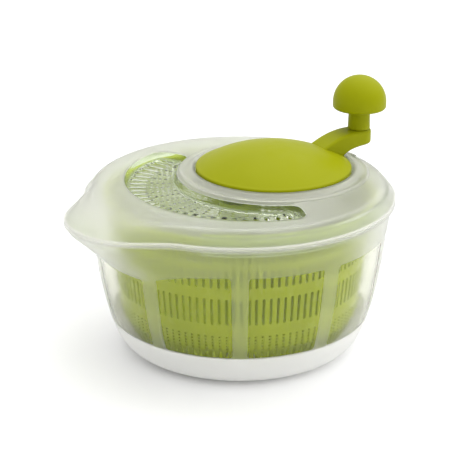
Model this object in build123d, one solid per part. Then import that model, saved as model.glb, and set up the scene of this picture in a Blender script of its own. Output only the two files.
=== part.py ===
from build123d import *
import os
from math import acos, cos, exp, pi, radians, sin, sqrt, tan

# Crank-driven salad spinner, in millimetres. +Z is up, the origin is on the bowl's axis at the
# face it stands on. The pouring spout points along -X, the crank's axis lies off centre along +X.

# bowl
WALL = 2.2
FLOOR_THICKNESS = 3.0
BASE_RADIUS = 86.0
RIM_HEIGHT = 131.0
RIM_RADIUS = 129.9
BEAD_HEIGHT = 2.6
FOOT_GROOVE = (45.0, 74.0, 0.8)        # inner radius, outer radius, depth
SPOUT_REACH = 29.0                     # how far the spout's tip passes the round rim
SPOUT_HALF_ANGLE = 34.0
SPOUT_START = 92.0                     # height where the spout leaves the round wall
SPOUT_FULL = 124.0                     # height where it has its whole reach
PIVOT_BOSS = (9.0, 7.0)                # radius and top of the boss on the floor
PIVOT_PIN = (3.0, 1.5, 21.2)           # radius, foot, height where its domed tip begins

# lid
LID_TOP = 144.6
PLATE = 2.2
LID_SKIRT = ((131.0, 130.0, 29.0), (134.0, 129.7, 28.6), (137.5, 127.0, 26.6), (141.0, 124.0, 24.4),
             (143.2, 121.6, 22.6), (144.2, 119.5, 21.0), (LID_TOP, 117.0, 19.0))
LID_HOLLOW = ((130.0, 127.8, 28.8), (131.0, 127.6, 28.8), (134.0, 126.6, 27.6), (137.5, 123.6, 25.2),
              (141.0, 120.2, 22.6), (LID_TOP - PLATE, 117.0, 20.0))
LOCATING_RING = (121.8, 123.8, 123.5, 138.5)  # inner radius, outer radius, lower edge, root
LOCATING_GAP = 40.0                    # the ring stays open over this half angle at the spout

# strainer tray, a crescent let into the lid
TRAY_RADIUS = 108.9
TRAY_OFFSET = 13.7
TRAY_HALF_ANGLE = 67.0
TRAY_CORNER = 11.0
TRAY_FLOOR = (135.6, 137.2)
TRAY_WALL = 1.8
SLOT_COUNT = 60
SLOT_WIDTH = 2.2
SLOT_RADII = (79.0, 106.0)
HOLE_RAYS = 40
HOLE_SIDE = 2.4
HOLE_RADII = (50.0, 55.0, 60.0, 65.0, 70.0, 75.0)
PATTERN_MARGIN = 2.0

# crank
CRANK_X = 36.0
DOME_RADIUS = 66.3
DOME_EDGE = 149.3
DOME_RISE = 18.0
DOME_SKIRT = 142.5
SHELL = 2.2
COLLAR_RADIUS = 81.5
COLLAR_TOP = 148.8
WELL_RADIUS = 67.6
WELL_FLOOR = (135.8, 138.0)
HUB_OUTER = 9.0                        # boss under the dome that holds the spindle
HUB_ROOT = 165.8
SCREW_BOSS = (4.0, 156.6, 154.0)       # radius, root, end of its pilot hole
ARM_POCKET = (34.0, 50.0)              # length and width of the hollow under the arm
PIN_BOSS = 6.5
PIN_FOOT = 158.5
ARM_ANGLE = -5.0                       # where the arm is parked, about +X
ARM_LENGTH = 88.0                      # from the crank's axis to the knob's axis
ARM_END_RADIUS = 10.8
ARM_TOP = 168.3
ARM_BOTTOM = 155.6

# knob
STEM_RADIUS = 9.6
KNOB_RADIUS = 23.2
KNOB_BOTTOM = 186.7
KNOB_SHOULDER = 192.7
KNOB_EDGE = 1.8                        # rounding of its lower edge
KNOB_SHELL = 2.2
PIN_RADIUS = 4.0
PIN_HEAD = (6.5, 195.0)                # radius and top of the pin's head
STEM_TOP = 192.0
STEM_DISC = 2.4

# gears
MODULE = 2.0
RING_TEETH = 54
PINION_TEETH = 18
PRESSURE_ANGLE = 20.0
BACKLASH = 0.25
RING_OUTER = 60.5
GEAR_BOTTOM = 140.0
PINION_TOP = 144.3
GEAR_FLANGE = (45.0, 146.5, 148.5)      # inner radius, lower face, upper face
GEAR_SCREWS = (49.0, (60.0, 180.0, 300.0))  # distance from the crank's axis, angles from the arm

# running parts
RUNNING = 0.05                         # radial clearance of a shaft in its bush
CLEAR = 0.3                            # gap between faces that pass each other
SPINDLE_RADIUS = 5.0
SHAFT_RADIUS = 6.0
BUSH_BOTTOM = 131.5
BUSH_FLANGE = 1.2
CRANK_BUSH = (8.0, 11.0)               # body and flange radius
PINION_BUSH = (9.0, 12.0)
BUSH_BOSS = 4.0                        # wall of the lid's bosses round the bushes
SPINDLE_TOP = 160.0
WASHER = (2.0, 9.0, 129.6)             # bore, outer radius, lower face
GLIDE_RING = (61.5, 66.4)
DRIVER_HEX = (8.0, 119.5)              # flats and lower end of the pinion's hexagon
DRIVER_LOW = 117.5

# basket
BASKET_WALL = 2.0
BASKET_PROFILE = ((11.0, 82.0), (12.2, 88.0), (15.5, 93.0), (22.0, 97.0), (33.0, 101.0),
                  (55.0, 104.4), (83.0, 107.0), (110.0, 109.5), (132.0, 111.2))
BASKET_RIM = (115.0, 128.5, 133.5)     # outer radius, lower edge of the lip, top
BASKET_ROWS = ((32.0, 43.0), (62.0, 88.0), (99.0, 122.0))
BASKET_SLOTS = 40
FLOOR_SLOTS = 24
FLOOR_SLOT_RADII = (30.0, 78.0)
HUB_RADIUS = 13.0
HUB_TOP = 29.0
HEX_FLATS = 18.0
COLUMN_TOP = 127.0
COLUMN_RADII = (22.0, 19.0, 17.0)      # at the floor, above its foot, at the top
SOCKET_RADIUS = 14.8
SOCKET_LOW = 111.0
DOG_FLATS = 20.0
CUP_FLANGE = (14.0, 9.5)               # radius and top of the flange that carries the basket
CUP_BORE_TOP = 24.2


def wall_radius(height):
    """Outside radius of the round bowl wall at a height."""
    flare = max(0.0, height - 100.0) / 31.0
    return (BASE_RADIUS + 13.0 * (1 - exp(-height / 4.0)) + 31.0 * (1 - exp(-height / 60.0))
            + 2.4 * flare ** 2)


def spout_share(angle):
    """Share of the spout's reach at an angle, in degrees, from the spout's axis: 1 at the tip."""
    turn = abs(angle) / SPOUT_HALF_ANGLE
    return cos(pi / 2 * turn ** 1.25) ** 2 if turn < 1 else 0.0


def spout_reach(height):
    """How far the spout passes the round wall at a height."""
    share = (height - SPOUT_START) / (SPOUT_FULL - SPOUT_START)
    return SPOUT_REACH * min(1.0, max(0.0, share))


def outline(radius, reach, height):
    """A level face: a circle with the spout's nose towards -X."""
    near = [4.0 * i for i in range(1, 11)]
    far = [50.0 + 10.0 * i for i in range(13)]
    turns = [0.0] + near + far + [180.0] + [-a for a in reversed(far)] + [-a for a in reversed(near)]
    points = []
    for turn in turns:
        r = radius + reach * spout_share(turn)
        points.append((-r * cos(radians(turn)), -r * sin(radians(turn)), height))
    return Face(Wire([Spline(*points, periodic=True)]))


def stack(sections):
    """A solid through level outlines given as (height, radius, reach)."""
    return loft([outline(radius, reach, height) for height, radius, reach in sections], ruled=True)


def ring(inner, outer, low, high):
    """A plain ring about Z."""
    solid = Pos(0, 0, (low + high) / 2) * Cylinder(outer, high - low)
    if inner:
        solid -= Pos(0, 0, (low + high) / 2) * Cylinder(inner, high - low + 1)
    return solid


def turned(points):
    """A solid turned about Z from (radius, height) corners."""
    profile = make_face(Polyline(*[(r, 0, z) for r, z in points], close=True))
    return revolve(profile, Axis.Z)


def hexagon(flats, low, high):
    """A hexagonal bar about Z."""
    face = RegularPolygon(flats / sqrt(3), 6)
    return Pos(0, 0, low) * extrude(face, high - low)


def screw(head_radius, head, shank_radius, length):
    """A pan-head screw with a cross recess, head down: its head's top is the origin plane."""
    body = ring(0, head_radius, -head, 0) + ring(0, shank_radius, 0, length)
    cross = Box(1.2 * head_radius, 0.8, 1.2) + Box(0.8, 1.2 * head_radius, 1.2)
    return body - Pos(0, 0, -head) * cross


def at_crank(solid, turn=0.0):
    """Moves a solid from the origin to the crank's axis, turned about it."""
    return Pos(CRANK_X, 0, 0) * Rot(0, 0, turn) * solid


def at_gear_screws(solid):
    """Copies of a solid at the gear screws, about the origin, with the arm along +X."""
    radius, turns = GEAR_SCREWS
    return Part() + [Rot(0, 0, turn) * Pos(radius, 0, 0) * solid for turn in turns]


def gear_outline(teeth, addendum, dedendum, thickening):
    """An involute gear's outline, with one tooth centred on +X."""
    pitch = MODULE * teeth / 2
    base = pitch * cos(radians(PRESSURE_ANGLE))
    tip = pitch + addendum
    root = pitch - dedendum
    involute = tan(radians(PRESSURE_ANGLE)) - radians(PRESSURE_ANGLE)
    half = pi / (2 * teeth) + thickening / (2 * pitch)
    start = max(root, base)
    flank = []
    for i in range(5):
        r = start + (tip - start) * i / 4
        roll = acos(min(1.0, base / r))
        flank.append((r, half + involute - (tan(roll) - roll)))
    if root < base:
        flank.insert(0, (root, flank[0][1]))
    points = []
    for tooth in range(teeth):
        centre = 2 * pi * tooth / teeth
        points += [(r * cos(centre - a), r * sin(centre - a)) for r, a in flank]
        points += [(r * cos(centre + a), r * sin(centre + a)) for r, a in reversed(flank)]
    return make_face(Polyline(*points, close=True))


def make_bowl():
    levels = [0.0, 1.5, 4.0, 8.0, 14.0, 22.0, 34.0, 50.0, 70.0, SPOUT_START, 100.0, 108.0, 116.0,
              SPOUT_FULL, RIM_HEIGHT]
    outside = stack([(z, wall_radius(z), spout_reach(z)) for z in levels])
    hollow = [z for z in levels if z > FLOOR_THICKNESS]
    inside = [(z, wall_radius(z - 1.0) - 1.1 * WALL, spout_reach(z - 1.0)) for z in hollow]
    inside.insert(0, (FLOOR_THICKNESS, wall_radius(2.0) - 2.4 * WALL, 0.0))
    inside.append((RIM_HEIGHT + 2, inside[-1][1] + 0.4, SPOUT_REACH))
    bead = extrude(outline(RIM_RADIUS + 0.9, SPOUT_REACH, RIM_HEIGHT - BEAD_HEIGHT), BEAD_HEIGHT)
    low, high, depth = FOOT_GROOVE
    body = outside + bead - stack(inside)
    body -= ring(low, high, -1, depth)
    body += ring(0, PIVOT_BOSS[0], FLOOR_THICKNESS - 1, PIVOT_BOSS[1])
    return body - ring(0, PIVOT_PIN[0], PIVOT_PIN[1], PIVOT_BOSS[1] + 1)


def crescent(grow=0.0):
    """The tray's plan: between two circles, cut off by rays from the crank's axis."""
    band = Pos(TRAY_OFFSET, 0) * Circle(TRAY_RADIUS) - Pos(CRANK_X, 0) * Circle(COLLAR_RADIUS)
    reach = 200.0
    edge = (CRANK_X - reach * cos(radians(TRAY_HALF_ANGLE)), reach * sin(radians(TRAY_HALF_ANGLE)))
    wedge = make_face(Polyline((CRANK_X, 0), edge, (-reach, edge[1]), (-reach, -edge[1]),
                               (edge[0], -edge[1]), close=True))
    plan = band & wedge
    plan = fillet(plan.vertices(), TRAY_CORNER)
    return offset(plan, grow) if grow else plan


def strainer_pattern():
    """Radial slots outside and rows of square holes inside, kept off the tray's edge."""
    slot = SlotOverall(SLOT_RADII[1] - SLOT_RADII[0], SLOT_WIDTH)
    hole = Rectangle(HOLE_SIDE, HOLE_SIDE)
    middle = sum(SLOT_RADII) / 2
    slot_turns = [360 * (i + 0.5) / SLOT_COUNT for i in range(SLOT_COUNT)]
    ray_turns = [360 * (i + 0.5) / HOLE_RAYS for i in range(HOLE_RAYS)]
    pattern = Sketch() + [Rot(0, 0, turn) * Pos(middle, 0) * slot for turn in slot_turns]
    pattern += [Rot(0, 0, turn) * Pos(r, 0) * hole for turn in ray_turns for r in HOLE_RADII]
    return pattern & crescent(-PATTERN_MARGIN)


def make_lid():
    shell = stack(LID_SKIRT) - stack(LID_HOLLOW)
    shell -= at_crank(ring(0, COLLAR_RADIUS - 2, 141, 150))
    low, high = WELL_FLOOR
    foot = LID_TOP - PLATE
    collar = turned([(COLLAR_RADIUS, foot), (COLLAR_RADIUS, 145.0), (79.8, 145.5), (70.8, COLLAR_TOP),
                     (WELL_RADIUS, COLLAR_TOP), (WELL_RADIUS, high), (0, high), (0, low),
                     (WELL_RADIUS + WALL, low), (WELL_RADIUS + WALL, 146.2), (79.3, 143.0), (79.3, foot)])
    shell += at_crank(collar)
    floor_low, floor_high = TRAY_FLOOR
    shell += Pos(0, 0, floor_low) * extrude(crescent(TRAY_WALL), LID_TOP - PLATE / 2 - floor_low)
    shell -= Pos(0, 0, floor_high) * extrude(crescent(), 20)
    shell -= Pos(0, 0, floor_low - 1) * extrude(strainer_pattern(), 4)
    locating = ring(*LOCATING_RING)
    reach = 200.0
    gap = make_face(Polyline((0, 0), (-reach, reach * tan(radians(LOCATING_GAP))),
                             (-reach, -reach * tan(radians(LOCATING_GAP))), close=True))
    shell += locating - Pos(0, 0, 110) * extrude(gap, 40)
    crank_bore, pinion_bore = CRANK_BUSH[0], PINION_BUSH[0]
    shell += at_crank(ring(0, crank_bore + BUSH_BOSS, BUSH_BOTTOM, low + 0.5))
    shell += ring(0, pinion_bore + BUSH_BOSS, BUSH_BOTTOM, low + 0.5)
    return shell - at_crank(ring(0, crank_bore, 120, 142)) - ring(0, pinion_bore, 120, 142)


def make_bush(bore, body, flange):
    """A flanged bush, its flange on the well's floor."""
    high = WELL_FLOOR[1]
    return ring(bore, body, BUSH_BOTTOM, high) + ring(bore, flange, high, high + BUSH_FLANGE)


def dome_solid(radius, rise):
    """The upper part of a ball under the dome's outside, down to the skirt."""
    ball = (DOME_RADIUS ** 2 + DOME_RISE ** 2) / (2 * DOME_RISE)
    centre = DOME_EDGE + DOME_RISE - ball
    return (Pos(0, 0, centre) * Sphere(ball - rise)) & ring(0, radius, DOME_SKIRT - (1 if rise else 0), 200)


def arm_solid(inset=0.0):
    """The arm along +X: its plan carried up, cut to its side view."""
    end = ARM_LENGTH + 2
    width = sqrt(ARM_END_RADIUS ** 2 - 4) - inset
    upper = Spline((30, 28.2 - inset), (50, 26 - inset), (70, 18.2 - inset), (end, width))
    lower = Spline((30, inset - 28.2), (50, inset - 26), (70, inset - 18.2), (end, -width))
    tip = ThreePointArc((end, width), (ARM_LENGTH + ARM_END_RADIUS - inset, 0), (end, -width))
    plan = make_face([upper, tip, lower, Line((30, 28.2 - inset), (30, inset - 28.2))])
    top = Spline((34, 0, 152.5), (42, 0, 158), (50, 0, 162), (60, 0, 165.5), (70, 0, 167.6),
                 (80, 0, ARM_TOP), tangents=((1, 0, 0.7), (1, 0, 0)))
    under = Spline((100, 0, ARM_BOTTOM), (82, 0, 154.4), (73, 0, 152.6), (67.5, 0, 150.2))
    front = Polyline((80, 0, ARM_TOP), (100, 0, ARM_TOP), (100, 0, ARM_BOTTOM))
    back = Polyline((67.5, 0, 150.2), (34, 0, 150.2), (34, 0, 152.5))
    side = make_face([*top.edges(), *front.edges(), *under.edges(), *back.edges()])
    return (Pos(0, 0, 140) * extrude(plan, 40)) & extrude(side, 40, both=True)


def make_crank():
    """Dome, arm and the bosses under them, in one moulding."""
    hollow = dome_solid(DOME_RADIUS - SHELL, SHELL)
    arm = arm_solid() - hollow
    pocket = Pos(0, 0, -SHELL) * arm_solid(SHELL)
    length, width = ARM_POCKET
    pocket &= Pos(ARM_LENGTH - 3, 0, ARM_TOP - 10) * Box(length, width, 40)
    pocket += Pos(0, 0, -SHELL) * pocket
    arm -= pocket - Pos(ARM_LENGTH, 0, 0) * ring(0, PIN_BOSS, PIN_FOOT, 180)
    shell = dome_solid(DOME_RADIUS, 0) - hollow
    boss_radius, boss_root, pilot_end = SCREW_BOSS
    bosses = ring(0, HUB_OUTER, WELL_FLOOR[1] + BUSH_FLANGE + CLEAR, HUB_ROOT)
    bosses += at_gear_screws(ring(0, boss_radius, GEAR_FLANGE[2], boss_root))
    body = shell + arm + bosses
    body -= ring(0, SPINDLE_RADIUS, 130, SPINDLE_TOP)
    body -= at_gear_screws(ring(0, 1.5, 140, pilot_end))
    body -= Pos(ARM_LENGTH, 0, 0) * ring(0, PIN_RADIUS, 150, 180)
    return at_crank(Rot(0, 0, ARM_ANGLE) * body)


def make_ring_gear():
    """Internal gear with a flange that three screws hold under the dome."""
    teeth = gear_outline(RING_TEETH, 1.25 * MODULE, 0.8 * MODULE, BACKLASH)
    inner, low, high = GEAR_FLANGE
    body = Pos(0, 0, GEAR_BOTTOM) * extrude(Circle(RING_OUTER) - teeth, low - GEAR_BOTTOM)
    body += ring(inner, RING_OUTER, low, high)
    return at_crank(body - Rot(0, 0, ARM_ANGLE) * at_gear_screws(ring(0, 1.6, low - 1, high + 1)))


def make_gear_screws():
    """Three identical screws through the ring gear's flange."""
    one = Pos(0, 0, GEAR_FLANGE[1]) * screw(2.8, 1.8, 1.5, 6.5)
    return Compound(children=at_crank(Rot(0, 0, ARM_ANGLE) * at_gear_screws(one)).solids())


def make_spindle():
    """Crank spindle, pressed up into the dome's hub, with a threaded hole below."""
    return at_crank(ring(0, SPINDLE_RADIUS, BUSH_BOTTOM - CLEAR, SPINDLE_TOP) - ring(0, 2.0, 120, 143))


def make_pinion():
    """Pinion with its shaft, and a hexagonal end for the driver."""
    teeth = gear_outline(PINION_TEETH, 0.95 * MODULE, 1.25 * MODULE, -BACKLASH)
    body = Pos(0, 0, GEAR_BOTTOM + CLEAR) * extrude(teeth, PINION_TOP - GEAR_BOTTOM - CLEAR)
    body += ring(0, SHAFT_RADIUS, BUSH_BOTTOM - CLEAR, GEAR_BOTTOM + 1)
    flats, low = DRIVER_HEX
    body += hexagon(flats, low, BUSH_BOTTOM)
    return body - ring(0, 1.5, 100, 130)


def make_driver():
    """Hexagonal driver below the lid, which drops into the basket column's socket."""
    flats, shoulder = DRIVER_HEX
    high = BUSH_BOTTOM - CLEAR
    body = hexagon(DOG_FLATS, DRIVER_LOW, high - 3) + ring(0, 12.6, high - 3, high)
    body -= hexagon(flats, shoulder, high + 1)
    return body - ring(0, 1.6, DRIVER_LOW - 1, shoulder + 0.5)


def make_socket():
    """Hexagonal socket in the top of the basket's column."""
    body = ring(0, SOCKET_RADIUS, SOCKET_LOW, COLUMN_TOP)
    return body - hexagon(DOG_FLATS + 0.9, SOCKET_LOW + 2, COLUMN_TOP + 1)


def basket_solid(inset):
    """The basket's outside, or its hollow when inset by the wall."""
    lowest = BASKET_PROFILE[0][0]
    points = [(0, lowest + inset)] + [(r - inset, max(z, lowest + inset)) for z, r in BASKET_PROFILE]
    top = BASKET_PROFILE[-1][0] + (5 if inset else 0)
    points[-1] = (BASKET_PROFILE[-1][1] - inset, top)
    points.append((0, top))
    return turned([p for i, p in enumerate(points) if i == 0 or p != points[i - 1]])


def make_basket():
    body = basket_solid(0.0)
    outer, lip, top = BASKET_RIM
    body += ring(0, outer, top - BASKET_WALL, top) + ring(outer - BASKET_WALL, outer, lip, top)
    body -= basket_solid(BASKET_WALL)
    for low, high in BASKET_ROWS:
        for i in range(BASKET_SLOTS // 2):
            cutter = Box(260, 2.6, high - low)
            body -= Pos(0, 0, (low + high) / 2) * Rot(0, 0, 360 * i / BASKET_SLOTS) * cutter
    inner, far = FLOOR_SLOT_RADII
    for i in range(FLOOR_SLOTS):
        slot = Pos((inner + far) / 2, 0, 12) * Box(far - inner, 3.2, 6)
        body -= Rot(0, 0, 360 * (i + 0.5) / FLOOR_SLOTS) * slot
    body += ring(0, HUB_RADIUS, 9.5, HUB_TOP)
    return body - hexagon(HEX_FLATS + 0.8, 0, HUB_TOP - 2)


def make_column():
    """Hollow column that carries the drive down to the basket's floor."""
    low = BASKET_PROFILE[0][0] + BASKET_WALL
    foot, waist, head = COLUMN_RADII
    body = turned([(0, low), (foot, low), (foot, low + 2), (waist, 24), (head, COLUMN_TOP),
                   (0, COLUMN_TOP)])
    body -= ring(0, HUB_RADIUS, low - 1, SOCKET_LOW - 5)
    return body - ring(0, SOCKET_RADIUS, SOCKET_LOW, COLUMN_TOP + 1)


def make_cup():
    """Bearing cup that turns on the pivot pin and carries the basket on its flange."""
    radius, top = CUP_FLANGE
    body = ring(0, radius, PIVOT_BOSS[1] + CLEAR, top) + hexagon(HEX_FLATS, top, HUB_TOP - 2.6)
    return body - ring(0, PIVOT_PIN[0] + RUNNING, 0, CUP_BORE_TOP)


def make_pivot_pin():
    """Steel pin in the boss of the bowl's floor, with a domed tip."""
    radius, foot, tip = PIVOT_PIN
    upper_half = Pos(0, 0, 5) * Box(10, 10, 10)
    return ring(0, radius, foot, tip) + Pos(0, 0, tip) * (Sphere(radius) & upper_half)


def at_knob(solid):
    """Moves a solid from the origin to the knob's axis."""
    return at_crank(Rot(0, 0, ARM_ANGLE) * Pos(ARM_LENGTH, 0, 0) * solid)


def knob_body(inset, low):
    """The knob's outside, or its hollow when inset."""
    centre = KNOB_SHOULDER
    radius = KNOB_RADIUS - inset
    upper_half = Pos(0, 0, centre + 50) * Box(100, 100, 100)
    return ring(0, radius, low, centre) + (Pos(0, 0, centre) * Sphere(radius) & upper_half)


def make_knob_cap():
    """Mushroom-shaped shell of the knob, rounded at its lower edge."""
    body = knob_body(0.0, KNOB_BOTTOM)
    low_edge = body.edges().filter_by(GeomType.CIRCLE).sort_by(Axis.Z)[0]
    body = fillet(low_edge, KNOB_EDGE)
    return at_knob(body - knob_body(KNOB_SHELL, KNOB_BOTTOM - 1))


def make_knob_stem():
    """Sleeve that turns on the pin, with the disc that closes the knob below."""
    body = ring(0, STEM_RADIUS, ARM_TOP + CLEAR, STEM_TOP)
    body += ring(0, KNOB_RADIUS - KNOB_SHELL, KNOB_BOTTOM, KNOB_BOTTOM + STEM_DISC)
    return at_knob(body - ring(0, PIN_RADIUS + RUNNING, 160, 200))


def make_knob_pin():
    """Headed pin through the stem, seated in the arm."""
    radius, top = PIN_HEAD
    body = ring(0, PIN_RADIUS, PIN_FOOT, STEM_TOP + 0.5) + ring(0, radius, STEM_TOP + CLEAR, top)
    return at_knob(body - ring(0, 1.5, 150, 170))


def make_nodes():
    """Every node of the spinner by name."""
    glide = ring(*GLIDE_RING, WELL_FLOOR[1], DOME_SKIRT - CLEAR)
    bore, outer, low = WASHER
    return {
        "bowl": make_bowl(),
        "pivot_pin": make_pivot_pin(),
        "pivot_cup": make_cup(),
        "basket": make_basket(),
        "basket_column": make_column(),
        "column_socket": make_socket(),
        "lid": make_lid(),
        "crank_bush": at_crank(make_bush(SPINDLE_RADIUS + RUNNING, *CRANK_BUSH)),
        "pinion_bush": make_bush(SHAFT_RADIUS + RUNNING, *PINION_BUSH),
        "glide_ring": at_crank(glide),
        "crank": make_crank(),
        "crank_spindle": make_spindle(),
        "spindle_washer": at_crank(ring(bore, outer, low, BUSH_BOTTOM - CLEAR)),
        "spindle_screw": at_crank(Pos(0, 0, low) * screw(4.2, 2.4, bore, 12)),
        "ring_gear": make_ring_gear(),
        "gear_screws": make_gear_screws(),
        "drive_pinion": make_pinion(),
        "basket_driver": make_driver(),
        "driver_screw": Pos(0, 0, DRIVER_LOW) * screw(3.0, 2.0, 1.5, 11),
        "knob_cap": make_knob_cap(),
        "knob_stem": make_knob_stem(),
        "knob_pin": make_knob_pin(),
        "knob_screw": at_knob(Pos(0, 0, PIN_FOOT) * screw(2.8, 1.8, 1.5, 9)),
    }


os.makedirs("parts", exist_ok=True)
for name, solid in make_nodes().items():
    export_step(solid, f"parts/{name}.step")
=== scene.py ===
"""Looks of a crank-driven salad spinner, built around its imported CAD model.

A frosted bowl with polished windows, a frosted lid with a sunken strainer tray, a green slotted
basket and a green crank with its mushroom knob. The outlines are in millimetres and the meshes in
metres, in the part's own frame: +Z is up, the pouring spout points along -X and the crank's axis
stands off centre along +X.
"""

import logging
from dataclasses import dataclass
from enum import Enum

import bmesh
import bpy
import numpy as np
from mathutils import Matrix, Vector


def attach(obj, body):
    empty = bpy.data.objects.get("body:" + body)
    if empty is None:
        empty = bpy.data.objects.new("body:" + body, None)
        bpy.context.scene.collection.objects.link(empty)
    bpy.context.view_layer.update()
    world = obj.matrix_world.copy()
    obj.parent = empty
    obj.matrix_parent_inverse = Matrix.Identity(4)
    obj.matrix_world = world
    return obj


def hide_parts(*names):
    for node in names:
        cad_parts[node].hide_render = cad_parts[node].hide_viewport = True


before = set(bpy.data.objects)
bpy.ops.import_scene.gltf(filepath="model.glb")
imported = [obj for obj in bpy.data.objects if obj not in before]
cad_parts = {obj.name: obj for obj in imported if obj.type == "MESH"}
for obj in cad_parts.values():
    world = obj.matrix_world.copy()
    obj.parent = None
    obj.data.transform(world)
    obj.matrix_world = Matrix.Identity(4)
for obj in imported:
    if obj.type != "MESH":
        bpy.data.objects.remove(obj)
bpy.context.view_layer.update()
LOG = logging.getLogger("spinner")

MM = 0.001
CRANK_AXIS = (36.0 * MM, 0.0)
ARM_ANGLE = np.radians(-5.0)
KNOB_AXIS = (CRANK_AXIS[0] + 88.0 * MM * np.cos(ARM_ANGLE), 88.0 * MM * np.sin(ARM_ANGLE))
MERGE = 2e-6
EDGE_STEPS = (0.0, 0.25, 0.5, 0.75, 1.0, 1.25, 1.5, 1.7, 2.1, 2.7, 3.5, 4.5)  # mm inside the tray's edge


class Slot(Enum):
    """Material slots of the record, which nothing here reads; the new pieces take their finish from
    Materials.
    """

    BOWL = "bowl_frosted"
    LID = "lid_frosted"
    BASKET = "basket_green"
    CRANK = "crank_green"


# ---- meshes ----


@dataclass
class Patch:
    """A surface on a grid: rows of points, each row running once round if it is closed.

    Attributes:
        points: Array (rows, columns, 3) of places in metres.
        kept: Mask (rows - 1, columns or columns - 1) of the faces that exist, or None for all.
        finish: Material index of each of those faces, or None for the first material.
        closed: Whether the last column joins the first.
    """

    points: np.ndarray
    kept: np.ndarray | None = None
    finish: np.ndarray | None = None
    closed: bool = True

    def quads(self) -> tuple[np.ndarray, np.ndarray]:
        """Vertex numbers and material index of every kept face.

        Returns:
            Array (faces, 4) of numbers into the flattened points, and array (faces,) of indices.
        """
        rows, columns = self.points.shape[:2]
        i = np.arange(rows - 1)[:, None]
        j = np.arange(columns if self.closed else columns - 1)[None, :]
        k = (j + 1) % columns
        corners = [i * columns + j, i * columns + k, (i + 1) * columns + k, (i + 1) * columns + j]
        quads = np.stack(np.broadcast_arrays(*corners), axis=-1)
        kept = np.ones(quads.shape[:2], bool) if self.kept is None else self.kept
        finish = np.zeros(quads.shape[:2], int) if self.finish is None else self.finish
        return quads[kept], finish[kept]


def turned(profile: list[tuple[float, float]], columns: int, axis: tuple[float, float] = (0.0, 0.0)) -> Patch:
    """Carries a profile once round a vertical axis: x = ax + r cos t, y = ay + r sin t, z = h.

    Args:
        profile: Pairs of radius and height, in millimetres.
        columns: Number of steps round the axis.
        axis: Where the axis stands, in metres.

    Returns:
        The surface, closed round the axis.
    """
    radius, height = np.array(profile).T * MM
    angle = np.linspace(0.0, 2 * np.pi, columns, endpoint=False)
    x = axis[0] + radius[:, None] * np.cos(angle)
    y = axis[1] + radius[:, None] * np.sin(angle)
    return Patch(np.stack([x, y, np.broadcast_to(height[:, None], x.shape)], axis=-1))


def arc(centre: tuple[float, float], radius: float, start: float, stop: float,
        steps: int) -> list[tuple[float, float]]:
    """Points of an arc in the plane of radius and height.

    Args:
        centre: Centre of the arc, in millimetres.
        radius: Its radius, in millimetres.
        start: First angle from the outward direction, in degrees.
        stop: Last angle.
        steps: Number of points.

    Returns:
        Pairs of radius and height.
    """
    angle = np.radians(np.linspace(start, stop, steps))
    return list(zip(centre[0] + radius * np.cos(angle), centre[1] + radius * np.sin(angle)))


def level_rows(profile: list[tuple[float, float]], columns: int) -> tuple[np.ndarray, np.ndarray]:
    """Repeats the radius and height of each row over its columns.

    Args:
        profile: Pairs of radius and height.
        columns: Number of columns.

    Returns:
        Arrays (rows, columns): radius and height.
    """
    radius, height = np.array(profile).T[:, :, None]
    return np.repeat(radius, columns, axis=1), np.repeat(height, columns, axis=1)


def lanes(numbers: np.ndarray, pitch: float, slot: float,
          shift: float = 0.0) -> tuple[np.ndarray, np.ndarray]:
    """Columns of a slotted band, four to a pitch: the slot runs over lanes 1 and 2.

    Args:
        numbers: Numbers of the pitches.
        pitch: Angle of one pitch, in radians.
        slot: Half width of the slot, as a share of the pitch.
        shift: Angle added to every column.

    Returns:
        Angle of each column and its lane, 0 to 3.
    """
    local = np.array([-0.5, -slot, 0.0, slot]) * pitch
    return (numbers[:, None] * pitch + shift + local).ravel(), np.tile(np.arange(4), numbers.size)


def make_piece(name: str, patches: list[Patch], wall: float = 0.0, offset: float = -1.0,
               crease: float = 38.0) -> bpy.types.Object:
    """Joins grid surfaces into one closed mesh object at the origin.

    Args:
        name: Name of the piece.
        patches: Its surfaces.
        wall: Thickness that open surfaces are given, in metres, or 0 for closed ones.
        offset: Side the wall grows to: -1 behind the surface, 0 on both sides, 1 in front.
        crease: Edges that turn by more than this many degrees stay sharp.

    Returns:
        The object, without materials.
    """
    points, faces, finish, count = [], [], [], 0
    for patch in patches:
        quads, index = patch.quads()
        points.append(patch.points.reshape(-1, 3))
        faces.append(quads + count)
        finish.append(index)
        count += points[-1].shape[0]
    mesh = bpy.data.meshes.new(name)
    mesh.from_pydata(np.concatenate(points).tolist(), [], np.concatenate(faces).tolist())
    mesh.polygons.foreach_set("material_index", np.concatenate(finish).astype(np.int32))
    obj = bpy.data.objects.new(name, mesh)
    bpy.context.scene.collection.objects.link(obj)
    clean(mesh, outward=not wall)
    if wall:
        modifier = obj.modifiers.new("wall", "SOLIDIFY")
        modifier.thickness = wall
        modifier.offset = offset
        modifier.use_even_offset = False
        depsgraph = bpy.context.evaluated_depsgraph_get()
        obj.data = bpy.data.meshes.new_from_object(obj.evaluated_get(depsgraph))
        obj.modifiers.clear()
        bpy.data.meshes.remove(mesh)
        obj.data.name = name
        clean(obj.data, outward=True)
    obj.data.shade_smooth()
    obj.data.set_sharp_from_angle(angle=np.radians(crease))
    return obj


def clean(mesh: bpy.types.Mesh, outward: bool) -> None:
    """Merges doubled points, which closes seams and poles, and drops loose ones.

    Args:
        mesh: The mesh to clean.
        outward: Whether to turn every face of the closed shell outwards.
    """
    work = bmesh.new()
    work.from_mesh(mesh)
    bmesh.ops.remove_doubles(work, verts=work.verts, dist=MERGE)
    loose = [v for v in work.verts if not v.link_faces]
    bmesh.ops.delete(work, geom=loose, context="VERTS")
    if outward:
        bmesh.ops.recalc_face_normals(work, faces=work.faces)
    work.to_mesh(mesh)
    work.free()


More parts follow.
